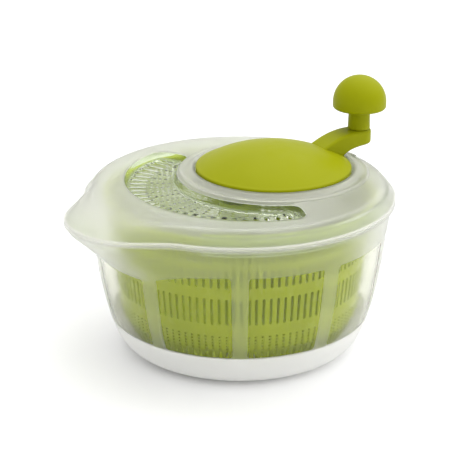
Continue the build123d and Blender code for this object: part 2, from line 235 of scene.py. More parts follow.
def place(obj: bpy.types.Object, body: str, replaced: str | None,
          materials: list[bpy.types.Material]) -> None:
    """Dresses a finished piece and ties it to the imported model.

    Args:
        obj: The piece.
        body: CAD body it moves with.
        replaced: CAD node it stands for, if any.
        materials: Materials in the order of its faces' indices.
    """
    for material in materials:
        obj.data.materials.append(material)
    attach(obj, body)
    if replaced:
        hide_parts(replaced)
    LOG.info("%s: %d faces on %s", obj.name, len(obj.data.polygons), body)


# ---- finishes ----


def ranged(nodes: bpy.types.Nodes, start: float, stop: float, low: float = 0.0,
           high: float = 1.0) -> bpy.types.Node:
    """Node that maps one range of values to another and holds its ends.

    Args:
        nodes: Nodes it joins.
        start: Value that gives low.
        stop: Value that gives high.
        low: First result.
        high: Last result.

    Returns:
        The node.
    """
    node = nodes.new("ShaderNodeMapRange")
    ends = {"From Min": start, "From Max": stop, "To Min": low, "To Max": high}
    for name, value in ends.items():
        node.inputs[name].default_value = value
    return node


def wire(links: bpy.types.NodeLinks, *ends: tuple) -> None:
    """Joins sockets of shader nodes.

    Args:
        links: Links of the tree.
        ends: For each link a node, its output, the node it feeds and that node's input.
    """
    for source, output, target, entry in ends:
        links.new(source.outputs[output], target.inputs[entry])


def moulding_group() -> bpy.types.ShaderNodeTree:
    """Node group of what moulding leaves on plastic: flow clouds, fine grain and rubbed patches.

    Returns:
        The group, with inputs Flow Scale and Grain Scale, and outputs Flow, Grain and Rub.
    """
    group = bpy.data.node_groups.new("moulding_marks", "ShaderNodeTree")
    face = group.interface
    for name, value in (("Flow Scale", 9.0), ("Grain Scale", 1400.0)):
        socket = face.new_socket(name, in_out="INPUT", socket_type="NodeSocketFloat")
        socket.default_value = value
    for name in ("Flow", "Grain", "Rub"):
        face.new_socket(name, in_out="OUTPUT", socket_type="NodeSocketFloat")
    nodes = group.nodes
    inputs = nodes.new("NodeGroupInput")
    outputs = nodes.new("NodeGroupOutput")
    place_on = nodes.new("ShaderNodeTexCoord")
    flow = nodes.new("ShaderNodeTexNoise")
    flow.inputs["Detail"].default_value = 3.0
    flow.inputs["Distortion"].default_value = 0.8
    grain = nodes.new("ShaderNodeTexNoise")
    grain.inputs["Detail"].default_value = 2.0
    rub = nodes.new("ShaderNodeTexNoise")
    rub.inputs["Scale"].default_value = 34.0
    rub.inputs["Detail"].default_value = 6.0
    rub.inputs["Roughness"].default_value = 0.7
    ramp = ranged(nodes, 0.52, 0.72)
    wire(group.links, *((place_on, "Object", texture, "Vector") for texture in (flow, grain, rub)),
         (inputs, "Flow Scale", flow, "Scale"), (inputs, "Grain Scale", grain, "Scale"),
         (rub, "Fac", ramp, "Value"), (flow, "Fac", outputs, "Flow"), (grain, "Fac", outputs, "Grain"),
         (ramp, "Result", outputs, "Rub"))
    return group


@dataclass(frozen=True)
class Moulded:
    """Finish of a moulded plastic part.

    Attributes:
        name: Name of the material.
        colour: Its colour, linear.
        deep: Colour of the darker clouds in it.
        rough: Roughness where it is clean.
        rubbed: Roughness added where it is rubbed.
        through: Share of the light that passes through, 0 for solid plastic.
        ior: Index of refraction.
        flow: Scale of the clouds, per metre.
        grain: Scale of the grain, per metre.
        bump: Height of the grain, in metres.
        metal: Metallic weight.
        lit: Share of lamp light let straight through, 0 for solid plastic.
        below: Painted greenish shade where the wall turns down, standing in for the green basket seen through
            it, or None for one colour all over.
        below_from: Height above which that colour has not begun, in metres.
        below_to: Height under which it is full.
    """

    name: str
    colour: tuple[float, float, float]
    deep: tuple[float, float, float]
    rough: float
    rubbed: float
    through: float = 0.0
    ior: float = 1.49
    flow: float = 9.0
    grain: float = 1400.0
    bump: float = 0.00002
    metal: float = 0.0
    lit: float = 0.0
    below: tuple[float, float, float] | None = None
    below_from: float = 0.1435
    below_to: float = 0.1365

    def material(self, group: bpy.types.ShaderNodeTree) -> bpy.types.Material:
        """Builds the material.

        Args:
            group: The shared group of moulding marks.

        Returns:
            The material, colour and roughness driven by the marks.
        """
        material = bpy.data.materials.new(self.name)
        material.use_nodes = True
        tree = material.node_tree
        nodes, shader = tree.nodes, tree.nodes["Principled BSDF"]
        shader.inputs["IOR"].default_value = self.ior
        shader.inputs["Transmission Weight"].default_value = self.through
        shader.inputs["Metallic"].default_value = self.metal
        marks = nodes.new("ShaderNodeGroup")
        marks.node_tree = group
        marks.inputs["Flow Scale"].default_value = self.flow
        marks.inputs["Grain Scale"].default_value = self.grain
        tint = nodes.new("ShaderNodeMix")
        tint.data_type = "RGBA"
        tint.inputs["A"].default_value = (*self.deep, 1.0)
        tint.inputs["B"].default_value = (*self.colour, 1.0)
        spread = ranged(nodes, 0.3, 0.62)
        dull = ranged(nodes, 0.0, 1.0, self.rough, self.rough + self.rubbed)
        bump = nodes.new("ShaderNodeBump")
        bump.inputs["Strength"].default_value = 0.6
        bump.inputs["Distance"].default_value = self.bump
        wire(tree.links, (marks, "Flow", spread, "Value"), (spread, "Result", tint, "Factor"),
             (self.painted_tint_below(tree, tint), "Result", shader, "Base Color"), (marks, "Rub", dull, "Value"),
             (dull, "Result", shader, "Roughness"), (marks, "Grain", bump, "Height"),
             (bump, "Normal", shader, "Normal"))
        if self.lit:
            self.open_to_lamps(tree, shader)
        return material

    def painted_tint_below(self, tree: bpy.types.ShaderNodeTree, tint: bpy.types.Node) -> bpy.types.Node:
        """Blends the colour by height into the painted greenish shade below, which stands in for the green
        basket seen through the wall.

        Args:
            tree: The material's nodes and links.
            tint: Node whose Result is the colour of the upper part.

        Returns:
            The node whose Result is the blend, or the given one if the finish has a single colour.
        """
        if self.below is None:
            return tint
        nodes = tree.nodes
        place_on = nodes.new("ShaderNodeTexCoord")
        height = nodes.new("ShaderNodeSeparateXYZ")
        share = ranged(nodes, self.below_from, self.below_to)
        # the painted greenish shade of the lower wall, standing in for the basket seen through it
        blend = nodes.new("ShaderNodeMix")
        blend.data_type = "RGBA"
        blend.inputs["B"].default_value = (*self.below, 1.0)
        wire(tree.links, (place_on, "Object", height, "Vector"), (height, "Z", share, "Value"),
             (share, "Result", blend, "Factor"), (tint, "Result", blend, "A"))
        return blend

    def open_to_lamps(self, tree: bpy.types.ShaderNodeTree, shader: bpy.types.Node) -> None:
        """Lets part of the lamps' light straight through, so that what is inside is lit.

        Args:
            tree: The material's nodes and links.
            shader: Its Principled shader.
        """
        nodes = tree.nodes
        path = nodes.new("ShaderNodeLightPath")
        clear = nodes.new("ShaderNodeBsdfTransparent")
        clear.inputs["Color"].default_value = (self.lit, self.lit, self.lit, 1.0)
        mix = nodes.new("ShaderNodeMixShader")
        wire(tree.links, (path, "Is Shadow Ray", mix, "Fac"), (shader, "BSDF", mix, 1),
             (clear, "BSDF", mix, 2), (mix, "Shader", nodes["Material Output"], "Surface"))


FROST_BOWL = Moulded("bowl_frosted_skin", (0.93, 0.94, 0.89), (0.90, 0.91, 0.86), 0.30, 0.08, through=0.95,
                     ior=1.30, lit=0.88)
WINDOW = Moulded("bowl_polished_window", (0.92, 0.925, 0.86), (0.90, 0.905, 0.84), 0.13, 0.05, through=0.99,
                 ior=1.22, bump=0.000002, lit=0.94)
FROST_BASE = Moulded("bowl_frosted_base", (0.99, 0.99, 0.97), (0.97, 0.97, 0.95), 0.36, 0.08, through=0.35,
                    ior=1.33, lit=0.85)
# The lid's lower colour is a painted greenish shade: it stands in for the green basket seen through the
# skirt.
FROST_LID = Moulded("lid_frosted_skin", (0.86, 0.865, 0.81), (0.83, 0.835, 0.78), 0.34, 0.10, through=0.90,
                    ior=1.30, lit=0.88, below=(0.84, 0.86, 0.78))
FROST_BEAD = Moulded("frosted_bead", (0.90, 0.90, 0.86), (0.88, 0.88, 0.84), 0.36, 0.08, through=0.74,
                     ior=1.33, lit=0.85)
# The tray's green tint is painted: it stands in for the green basket seen through the clear floor and walls.
CLEAR_TRAY = Moulded("lid_polished_tray", (0.90, 0.95, 0.82), (0.87, 0.92, 0.79), 0.14, 0.06, through=0.97,
                     ior=1.25, bump=0.000002, lit=0.92)
BASKET_GREEN = Moulded("basket_green_gloss", (0.42, 0.49, 0.008), (0.37, 0.44, 0.006), 0.26, 0.12, ior=1.40,
                       flow=14.0)
CRANK_GREEN = Moulded("crank_green_satin", (0.320, 0.342, 0.003), (0.300, 0.322, 0.002), 0.42, 0.12, ior=1.16)
GEAR_WHITE = Moulded("gear_white_moulded", (0.78, 0.78, 0.74), (0.72, 0.72, 0.68), 0.35, 0.15)
BUSH_WHITE = Moulded("bearing_white_moulded", (0.70, 0.71, 0.69), (0.64, 0.65, 0.63), 0.30, 0.12)
STEEL = Moulded("turned_steel", (0.56, 0.57, 0.58), (0.48, 0.49, 0.50), 0.25, 0.15, metal=1.0, flow=60.0)


@dataclass
class Materials:
    """Every material of the object, built once."""

    frost_bowl: bpy.types.Material
    window: bpy.types.Material
    frost_base: bpy.types.Material
    frost_lid: bpy.types.Material
    frost_bead: bpy.types.Material
    clear_tray: bpy.types.Material
    basket: bpy.types.Material
    crank: bpy.types.Material
    gear: bpy.types.Material
    bush: bpy.types.Material
    steel: bpy.types.Material


def make_materials() -> Materials:
    """Builds the shared group and the materials that use it."""
    group = moulding_group()
    finishes = (FROST_BOWL, WINDOW, FROST_BASE, FROST_LID, FROST_BEAD, CLEAR_TRAY, BASKET_GREEN, CRANK_GREEN,
                GEAR_WHITE, BUSH_WHITE, STEEL)
    return Materials(*[finish.material(group) for finish in finishes])


# ---- bowl ----

BOWL_WINDOW, BOWL_BASE, BOWL_BEAD = 1, 2, 3


@dataclass
class Outline:
    """The round plan with its spout, shared by the bowl and the lid. Sizes in millimetres."""

    spout_reach: float = 29.0
    spout_half_angle: float = 34.0
    spout_start: float = 92.0
    spout_full: float = 124.0

    def share(self, angle: np.ndarray) -> np.ndarray:
        """Share of the spout's reach at a polar angle: cos^2 of the angle from -X, eased.

        Args:
            angle: Polar angles about the bowl's axis, in radians.

        Returns:
            1 at the spout's tip, falling to 0 at its half angle.
        """
        turn = np.abs((np.degrees(angle) + 360.0) % 360.0 - 180.0) / self.spout_half_angle
        return np.where(turn < 1.0, np.cos(np.pi / 2 * np.minimum(turn, 1.0) ** 1.25) ** 2, 0.0)

    def reach(self, height: np.ndarray) -> np.ndarray:
        """How far the bowl's spout passes the round wall at a height, a straight cone below."""
        part = (height - self.spout_start) / (self.spout_full - self.spout_start)
        return self.spout_reach * np.clip(part, 0.0, 1.0)


@dataclass
class Bowl:
    """Frosted bowl with ten polished windows. Sizes in millimetres."""

    outline: Outline
    base_radius: float = 86.0
    wall: float = 2.42
    foot_flare: float = 13.0
    foot_length: float = 4.0
    belly_flare: float = 31.0
    belly_length: float = 60.0
    lip_flare: float = 2.4
    lip_from: float = 100.0
    lip_length: float = 31.0
    bead_low: float = 128.4
    windows: int = 10
    bar_half_angle: float = 2.7
    bar_growth: float = 0.0033
    window_low: float = 30.5
    window_high: float = 105.8
    window_dip: float = 12.8
    dip_flat: float = 14.0
    dip_fade: float = 36.0
    top_at: float = 0.42
    window_columns: int = 23
    bar_columns: int = 4
    corner: float = 3.6
    recess: float = 0.25
    step: float = 0.35

    def wall_radius(self, height: np.ndarray) -> np.ndarray:
        """Radius of the round wall: a fast curve off the foot, a slow flare and a last lift."""
        lip = np.maximum(0.0, height - self.lip_from) / self.lip_length
        foot = self.foot_flare * (1 - np.exp(-height / self.foot_length))
        belly = self.belly_flare * (1 - np.exp(-height / self.belly_length))
        return self.base_radius + foot + belly + self.lip_flare * lip**2

    def window_top(self, angle: np.ndarray) -> np.ndarray:
        """Top of the windows, which dips under the spout with the square of the angle to it."""
        away = np.abs((np.degrees(angle) + 360.0) % 360.0 - 180.0)
        near = np.clip(1.0 - (away - self.dip_flat) / self.dip_fade, 0.0, 1.0)
        return self.window_high - self.window_dip * near**2

    def columns(self) -> tuple[np.ndarray, np.ndarray, np.ndarray]:
        """Columns of one window's sector, as a share of the window and a share of the bar.

        Returns:
            Share across the window (-1 to 1), share across the bar beside it (-1 to 1, 0 in
            the window), and a mask of the columns that lie in the window's sunken face.
        """
        inside = np.linspace(-1.0, 1.0, self.window_columns)
        bar = np.linspace(1.0, 0.2, self.bar_columns)
        left, right = np.full(bar.size + 1, -1.0), np.full(bar.size, 1.0)
        window = np.concatenate([left, inside, right])
        beside = np.concatenate([-bar, [0.0], np.zeros(inside.size), [0.0], bar[::-1][:-1]])
        sunk = np.concatenate([left > 0, np.ones(inside.size, bool), right < 0])
        return window, beside, sunk

    def wall_grid(self) -> tuple[np.ndarray, np.ndarray, np.ndarray]:
        """Angles, heights and sunken mask of the outside wall, from the windows' foot to the bead.

        Columns inside a window follow its rounded corners: the half width at a distance d from
        the window's end is less by rho - sqrt(rho^2 - (rho - d)^2).

        Returns:
            Arrays (rows, columns): polar angle in radians, height in millimetres, sunken mask.
        """
        window, beside, sunk = self.columns()
        pitch = 2 * np.pi / self.windows
        centre = np.pi + pitch * np.arange(self.windows)
        window, beside, sunk = (np.tile(a, self.windows) for a in (window, beside, sunk))
        centre = np.repeat(centre, window.size // self.windows)
        off = np.array([0.0, self.step, 0.8, 1.5, 2.4, self.corner])
        middle = np.linspace(0.0, 1.0, 16)[1:-1]
        above = np.linspace(0.0, 1.0, 18)[1:]
        top = self.window_top(centre + window * pitch * self.top_at)
        low = self.window_low + off[:, None] + 0 * top
        span = top - self.window_low - 2 * self.corner
        mid = self.window_low + self.corner + middle[:, None] * span
        high = top - off[::-1][:, None]
        over = top + above[:, None] * (self.bead_low - top)
        height = np.concatenate([low, mid, high, over])
        end = np.minimum(height - self.window_low, top - height)
        gap = np.clip(self.corner - np.maximum(end, 0.0), 0.0, self.corner)
        inset = self.corner - np.sqrt(self.corner**2 - gap**2)
        bar = np.radians(self.bar_half_angle + self.bar_growth * (height - self.window_low))
        radius = self.wall_radius(height)
        half = pitch / 2 - bar - inset / radius - np.where(sunk, self.step / radius, 0.0)
        angle = centre + window * half + beside * (pitch / 2 - half)
        depth = (end >= self.step - 1e-6) & sunk
        return angle, height, depth

    def rows(self) -> tuple[np.ndarray, np.ndarray, np.ndarray, np.ndarray]:
        """Every row of the closed shell, from the foot's centre over the rim to the floor's.

        Returns:
            Arrays (rows, columns): angle, radius, height and sunken mask.
        """
        angle, height, depth = self.wall_grid()
        plain = angle[:1]
        radius = self.wall_radius(height) + self.outline.reach(height) * self.outline.share(angle)
        radius = radius - self.recess * depth
        foot = np.array([(0, 0), (44, 0), (45, 0), (45.6, 0.8), (73.4, 0.8), (74, 0), (80, 0), (85.2, 0),
                         (86.0, 0.15)])
        rise = np.array([0.5, 1.0, 1.6, 2.4, 3.4, 4.8, 6.6, 9.0, 12.0, 15.5, 19.5, 23.5, 27.0, 29.6])
        low_r = np.concatenate([foot[:, 0], self.wall_radius(rise)])
        low_z = np.concatenate([foot[:, 1], rise])
        rim = [(130.1, 128.4), (130.55, 128.55), (130.85, 129.0), (130.85, 130.4), (130.6, 130.85),
               (130.1, 131.0), (128.6, 131.0), (128.1, 130.8)]
        inner_z = np.array([28.0, 21.0, 15.0, 11.0, 8.0, 6.0, 4.6])
        floor = [(90.5, 3.7), (88.0, 3.15), (85.0, 3.0), (60.0, 3.0), (30.0, 3.0), (10.0, 3.0), (9.3, 3.2),
                 (9.0, 3.6), (9.0, 6.5), (8.5, 7.0), (4.0, 7.0), (0.0, 7.0)]
        blocks = [self.plain_rows(plain, low_r, low_z, 0.0), (angle, radius, height, depth)]
        blocks.append(self.plain_rows(angle[-1:], *np.array(rim).T, self.outline.spout_reach))
        back = self.wall_radius(height - 1.0) - self.wall
        back = back + self.outline.reach(height - 1.0) * self.outline.share(angle)
        blocks.append((angle[::-1], back[::-1], height[::-1], depth[::-1]))
        inner = self.wall_radius(inner_z - 1.0) - self.wall
        blocks.append(self.plain_rows(plain, inner, inner_z, self.outline.reach(inner_z - 1.0)[:, None]))
        blocks.append(self.plain_rows(plain, *np.array(floor).T, 0.0))
        return tuple(np.concatenate(part) for part in zip(*blocks))

    def plain_rows(self, angle: np.ndarray, radius: np.ndarray, height: np.ndarray,
                   reach: float | np.ndarray) -> tuple[np.ndarray, ...]:
        """Level rows with one radius each, plus the spout's reach.

        Args:
            angle: Angles of one row.
            radius: Radius of each row.
            height: Height of each row.
            reach: How far the spout stands out, one value or one per row.

        Returns:
            Arrays (rows, columns): angle, radius, height and an empty sunken mask.
        """
        angle = np.repeat(angle, radius.size, axis=0)
        out = radius[:, None] + reach * self.outline.share(angle)
        return angle, out, np.repeat(height[:, None], angle.shape[1], axis=1), np.zeros(angle.shape, bool)

    def build(self, materials: Materials) -> None:
        """Makes the shell and dresses it, polished in the windows and frosted elsewhere."""
        angle, radius, height, depth = self.rows()
        points = np.stack([radius * np.cos(angle), radius * np.sin(angle), height], axis=-1) * MM
        right = np.roll(depth, -1, axis=1)
        finish = (depth[:-1] & depth[1:] & right[:-1] & right[1:]) * BOWL_WINDOW
        low = height <= self.window_low + 0.01
        finish[low[1:] & low[:-1]] = BOWL_BASE
        rim = height > self.bead_low + 0.1
        finish[rim[1:] & rim[:-1]] = BOWL_BEAD
        shell = make_piece("bowl_shell", [Patch(points, finish=finish)], crease=50.0)
        place(shell, "bowl", "bowl", [materials.frost_bowl, materials.window, materials.frost_base,
                                               materials.frost_bead])


# ---- lid ----

LID_TRAY, LID_BEAD = 1, 2


@dataclass
class Tray:
    """Plan of the sunken strainer tray: a crescent with round ends. Sizes in millimetres."""

    outer_radius: float = 108.9
    outer_centre: float = 13.7
    inner_radius: float = 81.5
    crank: float = 36.0
    half_angle: float = 67.0
    corner: float = 11.0

    def depth_in(self, x: np.ndarray, y: np.ndarray) -> np.ndarray:
        """Distance inside the tray's edge, negative outside.

        The distance to the nearer of the two circles is a, the distance to the end's ray from
        the crank's axis is b. Near a corner it is rho - hypot(rho - a, rho - b).

        Args:
            x: Places along X, in millimetres.
            y: Places along Y.

        Returns:
            The distances.
        """
        along = x - self.crank
        outer = self.outer_radius - np.hypot(x - self.outer_centre, y)
        inner = np.hypot(along, y) - self.inner_radius
        turn = np.radians(self.half_angle)
        end = -along * np.sin(turn) - np.abs(y) * np.cos(turn)
        end = np.where(-along * np.cos(turn) + np.abs(y) * np.sin(turn) > 0, end, -np.hypot(along, y))
        near = np.minimum(outer, inner)
        rounded = self.corner - np.hypot(np.maximum(self.corner - near, 0), np.maximum(self.corner - end, 0))
        both = (near < self.corner) & (end < self.corner)
        return np.where(both, rounded, np.minimum(near, end))

    def span(self, axis: float, turn: np.ndarray, level: float,
             start: float) -> tuple[np.ndarray, np.ndarray]:
        """Nearest and farthest distance from an axis at which the tray is a given depth in.

        Args:
            axis: Where the axis stands along X.
            turn: Angles from -X about that axis, in radians.
            level: Distance inside the tray's edge.
            start: Distance from the axis where the search begins.

        Returns:
            The two distances for each angle, equal where the ray misses the tray.
        """
        reach = np.arange(start, 135.0, 0.02)[:, None]
        deep = self.depth_in(axis - reach * np.cos(turn), reach * np.sin(turn)) >= level
        first = reach[np.argmax(deep, axis=0), 0]
        last = reach[deep.shape[0] - 1 - np.argmax(deep[::-1], axis=0), 0]
        return first, np.where(deep.any(axis=0), last, first)


@dataclass
class Lid:
    """Frosted lid: skirt, plate, collar round the crank's dome, and the tray. In millimetres."""

    outline: Outline
    tray: Tray
    top: float = 144.6
    tray_floor: float = 137.2
    wall: float = 2.0
    edge: float = 1.0
    fillet: float = 3.0
    drop: float = 7.4
    floor_from: float = 3.4
    slots: int = 60
    slot_share: float = 0.24
    rays: int = 40
    hole: float = 2.4
    solid_ring: float = 77.0
    slots_from: float = 79.0
    slots_to: float = 2.4
    slot_round: float = 0.9
    slot_least: float = 4.0
    slots_shown: int = 16
    rays_shown: int = 11
    ray_middle: float = 62.0
    holes_from: float = 50.0
    holes_to: float = 75.0
    hole_pitch: float = 4.8
    hole_margin: float = 1.6
    floor_start: float = 44.0
    search_from: float = 40.0
    floor_overlap: float = 4.2
    floor_wall: float = 1.5
    shoulder_seen: float = 119.5
    squeeze: float = 10.0
    bead_faces: int = 5
    tray_middle: float = 99.0
    ring_end: float = 140.0
    boss_wall: float = 3.8
    boss_top: float = 137.0
    boss_low: float = 131.5

    def depth(self, inside: np.ndarray) -> np.ndarray:
        """How far the tray is sunk at a distance inside its edge.

        A quarter round of the edge's radius, a wall with a little draft, and a quarter round of
        the fillet's radius on to the floor.

        Args:
            inside: Distances inside the tray's edge.

        Returns:
            Depth below the plate.
        """
        draft = 0.5
        first = self.edge - np.sqrt(np.maximum(self.edge**2 - np.clip(inside, 0, self.edge) ** 2, 0))
        straight = self.drop - self.edge - self.fillet
        wall = straight * np.clip((inside - self.edge) / draft, 0.0, 1.0)
        left = np.clip(self.fillet - (inside - self.edge - draft), 0.0, self.fillet)
        last = np.sqrt(np.maximum(self.fillet**2 - left**2, 0.0))
        return np.where(inside <= 0, 0.0, first + wall + np.where(inside > self.edge + draft, last, 0.0))

    def turns(self) -> np.ndarray:
        """Angles of the columns from -X about the crank's axis, close together at the tray's ends."""
        half = self.tray.half_angle
        close = np.degrees(np.array(EDGE_STEPS) / self.tray_middle)
        inside = np.linspace(-half + close[-1], half - close[-1], 150)[1:-1]
        around = np.linspace(half, 360.0 - half, 170)[1:-1]
        turn = np.concatenate([-half + close, inside, half - close[::-1], around])
        return np.radians(turn)

    def plate_rows(self, turn: np.ndarray) -> tuple[np.ndarray, np.ndarray, np.ndarray]:
        """Plan of the plate's rows between the collar and the shoulder.

        Args:
            turn: Angles from -X about the crank's axis.

        Returns:
            x, y (rows, columns) in millimetres and the depth of each point.
        """
        centre = self.tray.crank
        round_turn = (turn + np.pi) % (2 * np.pi) - np.pi
        within = np.abs(round_turn) <= np.radians(self.tray.half_angle) + 1e-9
        just_inside = np.radians(self.tray.half_angle - 0.02)
        held = np.clip(round_turn, -just_inside, just_inside)
        near, far = self.tray.span(centre, held, 0.0, self.tray.inner_radius - 0.5)
        shoulder_x, shoulder_y = self.shoulder(turn, *self.skirt()[0][1:])
        shoulder = np.hypot(shoulder_x - centre, shoulder_y)
        edge_x, edge_y = self.shoulder(held, *self.skirt()[0][1:])
        whole = np.hypot(edge_x - centre, edge_y) - self.tray.inner_radius
        near_share = (near - self.tray.inner_radius) / whole
        far_share = (far - self.tray.inner_radius) / whole
        plate = shoulder - self.tray.inner_radius
        near = np.where(within, near, self.tray.inner_radius + near_share * plate)
        far = np.where(within, far, self.tray.inner_radius + far_share * plate)
        off = np.array(EDGE_STEPS)[:, None]
        off = off * np.where(within, 1.0, np.minimum(1.0, (far - near) / self.squeeze))
        rows = [np.broadcast_to(self.tray.inner_radius, near.shape)[None], near + off, far - off[::-1]]
        rows.append(far + np.linspace(0.0, 1.0, 5)[1:-1, None] * (shoulder - far))
        radius = np.concatenate(rows)
        x = centre - radius * np.cos(turn)
        y = -radius * np.sin(turn)
        return x, y, np.where(within, self.depth(self.tray.depth_in(x, y)), 0.0)

    def skirt(self) -> list[tuple[float, float, float]]:
        """Height, radius and spout reach of the rows from the shoulder down to the bead."""
        return [(144.6, 117.0, 12.0), (144.45, 118.4, 15.0), (144.05, 119.7, 17.6), (143.4, 121.0, 19.8),
                (142.5, 122.3, 21.7), (141.3, 123.6, 23.4), (139.6, 125.2, 25.1), (137.6, 126.8, 26.4),
                (135.6, 128.3, 27.5), (134.2, 129.3, 28.3), (133.7, 129.7, 28.6), (133.5, 130.4, 28.9),
                (133.1, 130.8, 29.0), (131.7, 130.85, 29.0), (131.15, 130.5, 29.0), (131.05, 129.4, 29.0)]

    def shoulder(self, turn: np.ndarray, radius: float, reach: float) -> tuple[np.ndarray, np.ndarray]:
        """Plan of one row of the skirt, its columns spread as seen from the crank's axis.

        The ray at each angle meets the circle of that radius about the bowl's axis; the polar
        angle of that point places the column on the outline.

        Args:
            turn: Angles from -X about the crank's axis.
            radius: Round radius of the row.
            reach: Spout reach of the row.

        Returns:
            x and y in millimetres.
        """
        ray_x, ray_y, centre = -np.cos(turn), -np.sin(turn), self.tray.crank
        along = centre * ray_x
        length = -along + np.sqrt(along**2 - centre**2 + self.shoulder_seen**2)
        polar = np.arctan2(length * ray_y, centre + length * ray_x)
        out = radius + reach * self.outline.share(polar)
        return out * np.cos(polar), out * np.sin(polar)

    def collar(self) -> list[tuple[float, float]]:
        """Radius and height of the collar's rows, from the well's middle to its foot."""
        return [(0.0, 138.0), (30.0, 138.0), (60.0, 138.0), (64.6, 138.0), (66.2, 138.4), (67.1, 139.3),
                (67.5, 140.6), (67.6, 144.5), (67.6, 147.9), (67.8, 148.5), (68.4, 148.85), (69.4, 148.95),
                (70.4, 148.85), (71.2, 148.5), (73.0, 147.6), (74.6, 146.7), (76.2, 146.2), (77.4, 146.25),
                (78.4, 146.55), (79.4, 146.6), (80.4, 146.2), (81.1, 145.4), (81.45, 144.8)]

    def skin_patch(self) -> Patch:
        """The lid's upper skin, from the well's middle out to the bead under the skirt."""
        turn = self.turns()
        x, y, depth = self.plate_rows(turn)
        plate = np.stack([x, y, self.top - depth], axis=-1)
        radius, height = level_rows(self.collar(), turn.size)
        ring = np.stack([self.tray.crank - radius * np.cos(turn), -radius * np.sin(turn), height], axis=-1)
        rows = []
        for level, round_radius, reach in self.skirt():
            edge_x, edge_y = self.shoulder(turn, round_radius, reach)
            rows.append(np.stack([edge_x, edge_y, np.full(turn.size, level)], axis=-1))
        points = np.concatenate([ring, plate, np.stack(rows)])
        inside, level = self.tray.depth_in(points[..., 0], points[..., 1]), points[..., 2]
        open_floor = (inside > self.floor_overlap) & (level < self.tray_floor + 0.05)
        right = np.roll(open_floor, -1, axis=1)
        gone = open_floor[:-1] & open_floor[1:] & right[:-1] & right[1:]
        sunk = (inside > self.edge - 0.3) & (level < self.top - 0.5) & (level > self.tray_floor - 0.1)
        beside = np.roll(sunk, -1, axis=1)
        finish = (sunk[:-1] & sunk[1:] & beside[:-1] & beside[1:]) * LID_TRAY
        finish[-self.bead_faces:] = LID_BEAD
        return Patch(points * MM, kept=~gone, finish=finish)

    def floor_patches(self) -> list[Patch]:
        """The tray's floor about the bowl's axis: radial slots outside, rays of holes inside."""
        return [self.slot_patch(), self.hole_patch()]

    def slot_patch(self) -> Patch:
        """Outer part of the floor, whose slots run out to just inside the tray's edge."""
        pitch = 2 * np.pi / self.slots
        turn, lane = lanes(np.arange(-self.slots_shown, self.slots_shown), pitch, self.slot_share, pitch / 2)
        near, far = self.tray.span(0.0, turn, self.floor_from, self.search_from)
        near, far = np.maximum(near, self.solid_ring), np.maximum(far, self.solid_ring)
        far = np.maximum(far, near)
        inner, outer = np.maximum(near, self.slots_from), np.maximum(far - self.slots_to, near)
        inner = np.minimum(inner, outer)
        bulge = np.where(lane == 2, -1.0, 0.0)
        first, second = np.array([[self.slot_round], [0.0]]), np.array([[0.0], [self.slot_round]])
        low = inner + second + bulge * first
        high = outer - first - bulge * second
        middle = inner + (outer - inner) * 0.5
        rows = np.concatenate([near[None], low, middle[None], high, far[None]])
        rows = np.clip(rows, near, far)
        rows = np.maximum.accumulate(rows, axis=0)
        opened = np.zeros((rows.shape[0] - 1, turn.size), bool)
        opened[1:5] = (lane == 1) | (lane == 2)
        long_enough = outer - inner > self.slot_least
        opened &= long_enough & np.roll(long_enough, -1)
        return self.floor_grid(turn, rows, far - near, opened)

    def hole_patch(self) -> Patch:
        """Inner part of the floor, with small square holes in rays."""
        pitch = 2 * np.pi / self.rays
        half = self.hole / 2
        centres = np.arange(self.holes_from, self.holes_to, self.hole_pitch)
        ends = [self.floor_start, self.solid_ring]
        levels = np.sort(np.concatenate([ends, centres - half, centres + half]))
        numbers = np.arange(-self.rays_shown, self.rays_shown)
        turn, lane = lanes(numbers, pitch, half / self.ray_middle / pitch, pitch / 2)
        near, far = self.tray.span(0.0, turn, self.floor_from, self.search_from)
        near, far = np.minimum(near, self.solid_ring), np.minimum(far, self.solid_ring)
        rows = np.clip(levels[:, None], near, np.maximum(far, near))
        opened = np.zeros((rows.shape[0] - 1, turn.size), bool)
        opened[1::2] = (lane == 1) | (lane == 2)
        clear = levels[:-1, None] > near + self.hole_margin
        opened &= clear & np.roll(clear, -1, axis=1) & (levels[1:, None] < far + 0.1)
        return self.floor_grid(turn, rows, far - near, opened)

    def floor_grid(self, turn: np.ndarray, rows: np.ndarray, depth: np.ndarray, opened: np.ndarray) -> Patch:
        """Places rows of distances from the bowl's axis on the floor's level.

        Args:
            turn: Angles of the columns from -X.
            rows: Distances (rows, columns).
            depth: How much of each column's ray lies on the floor.
            opened: Faces that are holes, for a grid that closes.

        Returns:
            The open surface.
        """
        valid = depth > 0.05
        kept = (valid | np.roll(valid, -1)) & ~opened
        x, y = -rows * np.cos(turn), -rows * np.sin(turn)
        points = np.stack([x, y, np.full(x.shape, self.tray_floor)], axis=-1) * MM
        return Patch(points, kept=kept[:, :-1], closed=False)

    def locating_ring(self) -> Patch:
        """Ring that centres the lid in the bowl, open under the spout and closed at both ends."""
        loop = np.array([(121.8, 140.4), (121.8, 124.3), (122.1, 123.7), (122.8, 123.5), (123.5, 123.7),
                         (123.8, 124.3), (123.8, 139.0), (121.8, 140.4)])
        sweep = np.linspace(-self.ring_end, self.ring_end, 150)
        angle = np.radians(np.concatenate([[-self.ring_end], sweep, [self.ring_end]]))
        radius, height = level_rows(loop, angle.size)
        radius[:, [0, -1]], height[:, [0, -1]] = loop.mean(axis=0)
        points = np.stack([radius * np.cos(angle), radius * np.sin(angle), height], axis=-1)
        return Patch(points * MM, closed=False)

    def boss(self, bore: float, axis: tuple[float, float]) -> Patch:
        """Sleeve under the plate that holds a bush, its lower edges eased.

        Args:
            bore: Radius of its bore, in millimetres.
            axis: Where it stands, in metres.

        Returns:
            The surface, open at the top, inside the plate.
        """
        outer, top, low = bore + self.boss_wall, self.boss_top, self.boss_low
        return turned([(bore, top), (bore, low + 0.2), (bore + 0.3, low), (outer - 0.4, low),
                       (outer, low + 0.4), (outer, top)], 48, axis)

